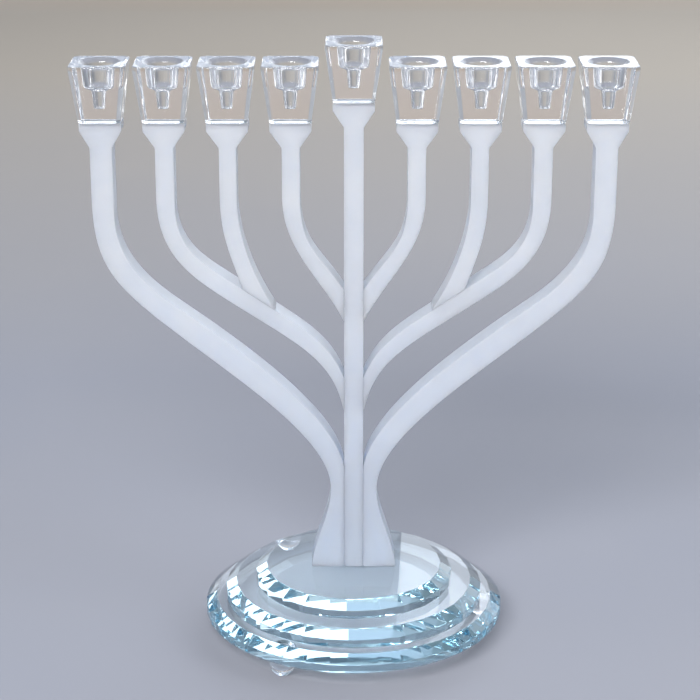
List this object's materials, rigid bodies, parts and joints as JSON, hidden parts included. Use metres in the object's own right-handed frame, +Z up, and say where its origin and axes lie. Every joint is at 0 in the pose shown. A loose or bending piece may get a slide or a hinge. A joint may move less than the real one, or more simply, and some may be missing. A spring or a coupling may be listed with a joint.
{
  "type": "menorah",
  "caption": "Free-standing Hanukkah menorah with curved frosted-glass arms, square crystal candle cups and a stepped, faceted round glass base.",
  "frame": {"origin": "on the surface it stands on, under the axis of the stem and of the round base", "axes": "+Z up along the stem, X along the row of candle cups, the viewer's side at -Y"},
  "size_m": [0.365, 0.206, 0.4135],
  "materials": {
    "frosted_glass": "sandblasted, satin, milky and slightly translucent",
    "base_glass": "polished clear plate glass with a pale green-blue edge tint",
    "cup_crystal": "polished colourless crystal",
    "foot_glass": "polished colourless glass"
  },
  "bodies": {
    "root": {"base_disc_lower": "base_glass", "base_disc_middle": "base_glass", "base_disc_upper": "base_glass", "foot_right": "foot_glass", "foot_back_left": "foot_glass", "foot_front_left": "foot_glass", "center_stem": "frosted_glass", "arm_outer_right": "frosted_glass", "arm_outer_left": "frosted_glass", "arm_second_right": "frosted_glass", "arm_second_left": "frosted_glass", "arm_branch_right": "frosted_glass", "arm_branch_left": "frosted_glass", "arm_inner_right": "frosted_glass", "arm_inner_left": "frosted_glass", "candle_cup_left_1": "cup_crystal", "candle_cup_left_2": "cup_crystal", "candle_cup_left_3": "cup_crystal", "candle_cup_left_4": "cup_crystal", "candle_cup_right_1": "cup_crystal", "candle_cup_right_2": "cup_crystal", "candle_cup_right_3": "cup_crystal", "candle_cup_right_4": "cup_crystal", "shamash_cup": "cup_crystal"}
  },
  "joints": []
}
